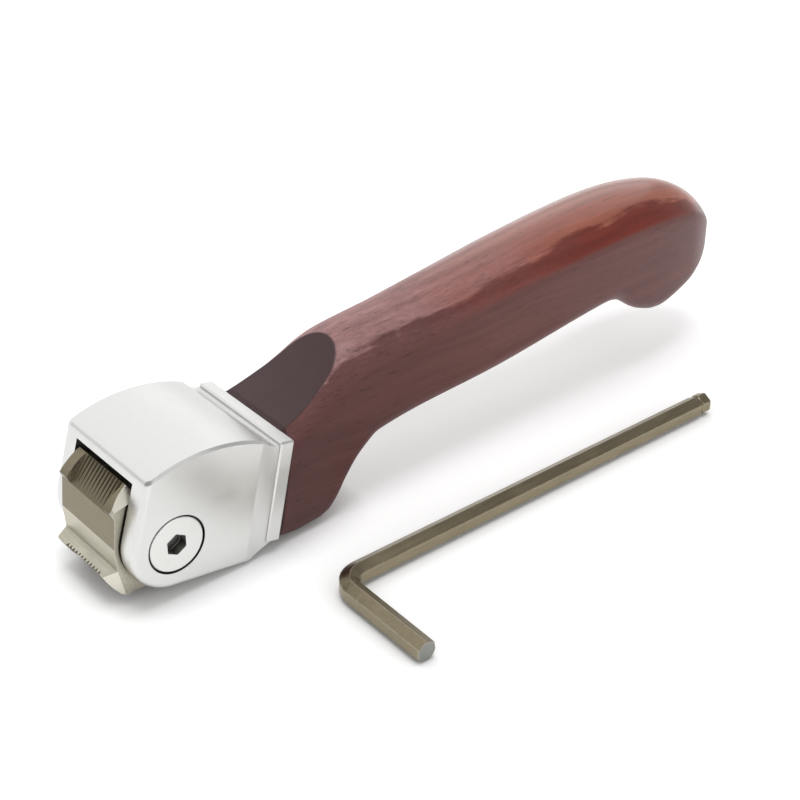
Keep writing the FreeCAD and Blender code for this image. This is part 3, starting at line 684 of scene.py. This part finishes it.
@dataclass
class Head:
    """Metal head with its clamp nut and the pieces inside head and handle."""

    edge_round: float = 0.17 * MM
    nut_round: float = 0.10 * MM

    def build(self, finishes: Finishes) -> None:
        """Dresses the head's pieces.

        Args:
            finishes: The tool's materials.
        """
        housing = softened("head_housing", "head_block", self.edge_round)
        set_material(housing, finishes.nickel)
        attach(housing, Body.TOOL.value)
        nut = softened("clamp_nut", "clamp_nut_body", self.nut_round)
        set_material(nut, finishes.screw)
        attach(nut, Body.TOOL.value)
        for node in ("axle_sleeve", "handle_stud", "near_locating_pin", "far_locating_pin"):
            set_material(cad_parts[node], finishes.plain_steel)
        for node in ("near_thrust_washer", "far_thrust_washer", "handle_insert"):
            set_material(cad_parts[node], finishes.brass)
        set_material(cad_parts["stud_set_screw"], finishes.dark_steel)
        LOG.info("head: block, nut, sleeve, washers, stud, pins, insert and set screw")


@dataclass
class ClampScrew:
    """Flush screw with a hex socket in the near cheek."""

    edge_round: float = 0.12 * MM

    def build(self, finishes: Finishes) -> None:
        """Dresses the screw.

        Args:
            finishes: The tool's materials.
        """
        screw = softened("clamp_screw", "clamp_screw_body", self.edge_round)
        set_material(screw, finishes.screw)
        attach(screw, Body.SCREW.value)
        LOG.info("clamp screw")


@dataclass
class CutterWheel:
    """Four-lobe wheel with a row of teeth on each lobe."""

    edge_round: float = 0.05 * MM
    crease: float = 8.4
    land_start: float = 11.4 * MM
    land_facing: float = 0.45
    teeth_half: float = 6.5 * MM
    wall_facing: float = 0.8
    bevel_facing: tuple[float, float] = (0.2, 0.97)

    def build(self, finishes: Finishes) -> None:
        """Dresses the wheel.

        Args:
            finishes: The tool's materials.
        """
        wheel = softened("cutter_wheel", "cutter_wheel_body", self.edge_round, segments=1, crease=self.crease)
        set_material(wheel, finishes.cutter)
        for finish in (finishes.toothed, finishes.facet):
            wheel.data.materials.append(finish)
        axle = Vector((0.0, 0.0, sum(corner[2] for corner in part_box("axle_sleeve")) / 2))
        for face in wheel.data.polygons:
            out = Vector((face.center.x, 0.0, face.center.z)) - axle
            if out.length < self.land_start:
                continue
            outward = face.normal.dot(out) > self.land_facing * out.length
            in_row = abs(face.center.y) < self.teeth_half
            # Bevels facing -Y and the tooth walls take the bright facet colour, a painted highlight.
            bevel = not in_row and self.bevel_facing[0] < -face.normal.y < self.bevel_facing[1]
            wall = in_row and not outward and abs(face.normal.y) > self.wall_facing
            if bevel or wall:
                face.material_index = 2
            # Outward lands take the dark toothed colour, painted shade.
            elif outward:
                face.material_index = 1
        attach(wheel, Body.CUTTER.value)
        LOG.info("cutter wheel")


@dataclass
class HexKey:
    """Loose L-shaped hex key with a ball end."""

    edge_round: float = 0.16 * MM
    end_depth: float = 0.4 * MM
    end_facing: float = 0.9

    def build(self, finishes: Finishes) -> None:
        """Dresses the key.

        Args:
            finishes: The tool's materials.
        """
        key = softened("hex_key", "hex_key_body", self.edge_round)
        set_material(key, finishes.dark_steel)
        key.data.materials.append(finishes.key_end)
        short_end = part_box("hex_key")[0][1] + self.end_depth
        for face in key.data.polygons:
            if face.center.y < short_end and -face.normal.y > self.end_facing:
                face.material_index = 1
        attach(key, Body.KEY.value)
        LOG.info("hex key")


Outline = tuple[tuple[float, float], ...]


def on_outline(points: Outline, x: float) -> float:
    """Reads a smooth curve through the points of an outline.

    Args:
        points: Pairs of X and value, in millimetres, in order of X.
        x: Where to read the curve.

    Returns:
        The curve's value at x.
    """
    index = next((i for i in range(len(points) - 2) if x <= points[i + 1][0]), len(points) - 2)
    (x0, y0), (x1, y1) = points[index], points[index + 1]
    before = points[max(index - 1, 0)]
    after = points[min(index + 2, len(points) - 1)]
    slope0 = (y1 - before[1]) / (x1 - before[0])
    slope1 = (after[1] - y0) / (after[0] - x0)
    step = x1 - x0
    t = (x - x0) / step
    start_part = (2 * t ** 3 - 3 * t ** 2 + 1) * y0 + (t ** 3 - 2 * t ** 2 + t) * step * slope0
    end_part = (3 * t ** 2 - 2 * t ** 3) * y1 + (t ** 3 - t ** 2) * step * slope1
    return start_part + end_part


@dataclass(frozen=True)
class HandleShape:
    """Outlines of the handle along X and the sizes of its section, in millimetres."""

    end_x: float = 152.2
    lean_end_x: float = 47.0
    lean: float = 12.2
    collar_x: float = 25.85
    collar_height: float = 16.5
    gap: float = 0.15
    top: Outline = ((20, 25.0), (34, 29.2), (46, 33.3), (62, 35.0), (100, 38.5), (123, 39.56), (137, 38.2),
                    (144.5, 35.2), (149.8, 29.9), (152.2, 23.4))
    bottom: Outline = ((20, 2.6), (29, 0.25), (33.5, 0.2), (37.1, 0.7), (39.2, 2.9), (41.2, 6.3),
                       (44.5, 10.5), (50, 14.0), (82, 16.2), (112, 19.8), (117.5, 19.2), (124, 14.8),
                       (130, 12.7), (136, 13.4), (145, 16.4), (152.2, 20.6))
    half_width: Outline = ((20, 13.3), (60, 11.6), (124, 11.6), (140, 10.4), (146.5, 8.2),
                           (150.8, 4.8), (152.2, 2.0))
    cap: Outline = ((20, 9.5), (34, 9.0), (62, 6.0), (130, 4.6), (152.2, 4.6))
    taper: Outline = ((20, 0.4), (47, 1.6), (66, 1.2), (100, 0.3), (152.2, 0.0))
    belly_round: float = 3.4
    cap_round: float = 3.0
    round_share: float = 0.6
    soft_share: float = 0.4
    height_share: float = 0.3
    belly_steps: int = 6
    flank_steps: int = 8
    soft_steps: int = 5
    crown_steps: int = 8
    runs: tuple = ((30, 50, 30), (50, 108, 29), (108, 140, 32), (140, 149, 14), (149, 152, 14))
    front_steps: int = 4
    last_places: tuple[float, float] = (152.0, 152.1)
    scoop_radius: float = 42.0
    scoop_start_height: float = 23.2
    scoop_end: tuple[float, float] = (46.0, 33.5)

    def front(self) -> float:
        """X of the front section's middle, just behind the leaning collar."""
        lean = math.radians(self.lean)
        middle = (self.top[0][1] + self.bottom[0][1]) / 2
        return self.collar_x + self.gap / math.cos(lean) + (middle - self.collar_height) * math.tan(lean)

    def front_line(self) -> tuple[float, float]:
        """Slope of the front face, as X over Z, and that face's X at the floor, in metres."""
        lean = math.radians(self.lean)
        slope = math.tan(lean)
        return slope, (self.collar_x + self.gap / math.cos(lean) - self.collar_height * slope) * MM

    def scoop_centre(self) -> Vector:
        """Centre of the cylinder that hollows the thumb scoop, in metres."""
        lean = math.tan(math.radians(self.lean))
        low = Vector((self.collar_x + (self.scoop_start_height - self.collar_height) * lean, 0,
                      self.scoop_start_height))
        high = Vector((self.scoop_end[0], 0, self.scoop_end[1]))
        chord = high - low
        up = Vector((-chord.z, 0, chord.x)).normalized()
        return ((low + high) / 2 + up * math.sqrt(self.scoop_radius ** 2 - chord.length ** 2 / 4)) * MM

    def section(self, x: float) -> list[Vector]:
        """Lays points round one section.

        Args:
            x: The section's place, in millimetres.

        Returns:
            The points in metres, in order round the section, always as many.
        """
        top, bottom = on_outline(self.top, x), on_outline(self.bottom, x)
        half = on_outline(self.half_width, x)
        upper = half - on_outline(self.taper, x)
        limit = (top - bottom) * self.height_share
        low = min(self.belly_round, half * self.round_share, limit)
        soft = min(self.cap_round, upper * self.soft_share)
        cap = min(on_outline(self.cap, x), limit)
        radius = (upper ** 2 + cap ** 2) / (2 * cap)
        centre = top - radius
        soft_height = centre + math.sqrt((radius - soft) ** 2 - (upper - soft) ** 2)
        shoulder = math.atan2(soft_height - centre, upper - soft)
        belly = [math.pi / 2 * i / self.belly_steps for i in range(self.belly_steps + 1)]
        side = [(half - low + low * math.sin(a), bottom + low - low * math.cos(a)) for a in belly]
        side += [(half + (upper - half) * i / self.flank_steps,
                  bottom + low + (soft_height - bottom - low) * i / self.flank_steps)
                 for i in range(1, self.flank_steps)]
        turn = [shoulder * i / self.soft_steps for i in range(self.soft_steps + 1)]
        side += [(upper - soft + soft * math.cos(a), soft_height + soft * math.sin(a)) for a in turn]
        arc = [shoulder + (math.pi / 2 - shoulder) * i / self.crown_steps for i in range(1, self.crown_steps)]
        side += [(radius * math.cos(a), centre + radius * math.sin(a)) for a in arc]
        ring = [(0.0, bottom)] + side + [(0.0, top)] + [(-y, z) for y, z in reversed(side)]
        lean = max(0.0, self.lean * (self.lean_end_x - x) / (self.lean_end_x - self.front()))
        middle = (top + bottom) / 2
        return [Vector((x + (z - middle) * math.tan(math.radians(lean)), y, z)) * MM for y, z in ring]

    def places(self) -> list[float]:
        """X of every section, closer together where the outline bends."""
        runs = ((self.front(), self.runs[0][0], self.front_steps), *self.runs)
        found = [start + (end - start) * i / steps for start, end, steps in runs for i in range(steps)]
        return [*found, *self.last_places, self.end_x]


@dataclass
class Handle:
    """Shaped wooden handle: guard, grip, pommel and thumb scoop."""

    shape: HandleShape = field(default_factory=HandleShape)
    rim_round: float = 0.35 * MM
    tip_round: float = 0.6 * MM
    tip_depth: float = 0.01 * MM
    round_segments: int = 3
    scoop_segments: int = 720
    scoop_width: float = 80 * MM
    rim_angle: float = 14.0
    rim_reach: float = 2.0 * MM
    weld: float = 0.01 * MM
    crease: float = 35.0

    def build(self, finishes: Finishes) -> None:
        """Makes the handle in place of its CAD node.

        Args:
            finishes: The tool's materials.
        """
        bm = bmesh.new()
        rings = [self._ring(bm, self.shape.section(x)) for x in self.shape.places()]
        for first, second in zip(rings, rings[1:]):
            bmesh.ops.bridge_loops(bm, edges=first + second)
        for ring in (rings[0], rings[-1]):
            bmesh.ops.holes_fill(bm, edges=ring, sides=0)
        bmesh.ops.recalc_face_normals(bm, faces=bm.faces)
        blank = new_piece("handle_blank", bm)
        piece = self._scooped(blank)
        set_material(piece, finishes.wood)
        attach(piece, Body.TOOL.value)
        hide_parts("handle")
        LOG.info("handle")

    def _ring(self, bm: bmesh.types.BMesh, points: list[Vector]) -> list[bmesh.types.BMEdge]:
        """Adds one closed ring through the points.

        Args:
            bm: The bmesh to add to.
            points: The ring's points in order.

        Returns:
            The ring's edges.
        """
        verts = bmesh.ops.create_circle(bm, cap_ends=False, segments=len(points), radius=MM)["verts"]
        for vert, point in zip(verts, points):
            vert.co = point
        return list({edge for vert in verts for edge in vert.link_edges})

    def _scooped(self, blank: bpy.types.Object) -> bpy.types.Object:
        """Cuts the thumb scoop out of the blank and rounds its rim.

        Args:
            blank: The handle without its scoop, removed by this call.

        Returns:
            The finished handle.
        """
        shape = self.shape
        bm = bmesh.new()
        turn = Matrix.Translation(shape.scoop_centre()) @ Matrix.Rotation(math.radians(90), 4, "X")
        radius = shape.scoop_radius * MM
        bmesh.ops.create_cone(bm, cap_ends=True, segments=self.scoop_segments, radius1=radius, radius2=radius,
                              depth=self.scoop_width, matrix=turn)
        cutter = new_piece("scoop_cutter", bm)
        cut = blank.modifiers.new("scoop", "BOOLEAN")
        cut.operation = "DIFFERENCE"
        cut.solver = "EXACT"
        cut.object = cutter
        bpy.context.view_layer.update()
        mesh = bpy.data.meshes.new_from_object(blank.evaluated_get(bpy.context.evaluated_depsgraph_get()))
        bpy.data.objects.remove(cutter)
        bpy.data.objects.remove(blank)
        bm = bmesh.new()
        bm.from_mesh(mesh)
        bpy.data.meshes.remove(mesh)
        bmesh.ops.remove_doubles(bm, verts=bm.verts, dist=self.weld)
        rim_end = shape.scoop_end[0] * MM + self.rim_reach
        rim = [edge for edge in bm.edges if len(edge.link_faces) == 2 and edge.verts[0].co.x < rim_end
               and edge.calc_face_angle(0.0) > math.radians(self.rim_angle)]
        self._round(bm, rim, self.rim_round)
        tip_start = shape.end_x * MM - self.tip_depth
        self._round(bm, [edge for edge in bm.edges if min(v.co.x for v in edge.verts) > tip_start],
                    self.tip_round)
        bmesh.ops.recalc_face_normals(bm, faces=bm.faces)
        piece = new_piece("handle_wood", bm)
        shade(piece, self.crease)
        return piece

    def _round(self, bm: bmesh.types.BMesh, edges: list[bmesh.types.BMEdge], radius: float) -> None:
        """Rounds edges of the handle.

        Args:
            bm: The bmesh that the edges are in.
            edges: The edges to round.
            radius: Width of the rounding in metres.
        """
        bmesh.ops.bevel(bm, geom=edges, offset=radius, offset_type="OFFSET", segments=self.round_segments,
                        profile=0.5, affect="EDGES", material=-1, clamp_overlap=True)


@dataclass
class Studio:
    """Pale floor, soft lamps, world and camera."""

    floor_half: float = 3.0
    azimuth: float = -39.6
    elevation: float = 32.8
    distance: float = 387.8 * MM
    target: tuple[float, float, float] = (74.7 * MM, 12.6 * MM, 0.0)
    focal_pixels: float = 1772.4
    image_size: int = 800
    sensor: float = 36.0
    clip_start: float = 0.01
    sky_run: tuple[float, float] = (0.10, 0.60)
    sky_strength: tuple[float, float] = (0.83, 0.31)
    lamps: tuple = field(default=(
        ("back softbox", (0.25, 1.02, 0.88), (2.8, 1.3), 8.9),
        ("overhead softbox", (0.08, 0.0, 1.30), (0.6, 0.6), 6.7),
        ("front fill", (0.30, -0.95, 0.60), (0.9, 0.9), 1.8),
    ))

    def build(self, finishes: Finishes) -> None:
        """Sets up everything that isn't the object.

        Args:
            finishes: The tool's materials.
        """
        self._floor(finishes)
        self._world()
        for name, place, size, power in self.lamps:
            self._lamp(name, Vector(place), size, power)
        self._camera()
        bpy.context.scene.view_settings.view_transform = "Standard"
        LOG.info("studio")

    def _floor(self, finishes: Finishes) -> None:
        """Lays the floor under the object."""
        bm = bmesh.new()
        bmesh.ops.create_grid(bm, x_segments=2, y_segments=2, size=self.floor_half)
        floor = new_piece("floor", bm)
        set_material(floor, finishes.floor)

    def _world(self) -> None:
        """Lights the scene more from above than from the side, and shows white to the camera."""
        world = bpy.data.worlds.new("studio white")
        world.use_nodes = True
        world.node_tree.nodes.clear()
        tree = Tree(world.node_tree)
        ray = tree.add("LightPath")
        seen = tree.math("ADD", ray.outputs["Is Camera Ray"], ray.outputs["Is Transmission Ray"], clamp=True)
        direction = tree.add("TexCoord").outputs["Generated"]
        height = tree.add("SeparateXYZ", {0: direction}).outputs[2]
        sky = tree.ramp(height, *self.sky_run, *self.sky_strength)
        strength = tree.math("MAXIMUM", sky, seen)
        back = tree.add("Background", {"Color": (1.0, 1.0, 1.0, 1.0), "Strength": strength})
        tree.add("OutputWorld", {"Surface": back.outputs[0]})
        bpy.context.scene.world = world

    def _lamp(self, name: str, place: Vector, size: tuple[float, float], power: float) -> None:
        """Adds one rectangular lamp that points at the object."""
        data = bpy.data.lights.new(name, "AREA")
        data.shape = "RECTANGLE"
        data.size, data.size_y = size
        data.energy = power
        lamp = bpy.data.objects.new(name, data)
        lamp.location = place
        lamp.rotation_euler = (place - Vector(self.target)).to_track_quat("Z", "Y").to_euler()
        bpy.context.scene.collection.objects.link(lamp)

    def _camera(self) -> None:
        """Places the camera at the photograph's viewing angle."""
        azimuth, elevation = math.radians(self.azimuth), math.radians(self.elevation)
        back = Vector((math.sin(azimuth) * math.cos(elevation), -math.cos(azimuth) * math.cos(elevation),
                       math.sin(elevation)))
        data = bpy.data.cameras.new("camera")
        data.sensor_width = self.sensor
        data.lens = self.focal_pixels / self.image_size * self.sensor
        data.clip_start = self.clip_start
        camera = bpy.data.objects.new("camera", data)
        camera.location = Vector(self.target) + back * self.distance
        camera.rotation_euler = back.to_track_quat("Z", "Y").to_euler()
        bpy.context.scene.collection.objects.link(camera)
        bpy.context.scene.camera = camera


def main() -> None:
    """Builds the finishes, each sub-assembly and the studio, in order."""
    logging.basicConfig(level=logging.INFO, format="%(name)s: %(message)s")
    finishes = Finishes()
    for part in (Head(), ClampScrew(), CutterWheel(), HexKey(), Handle()):
        part.build(finishes)
    Studio().build(finishes)


if __name__ == "__main__":
    main()
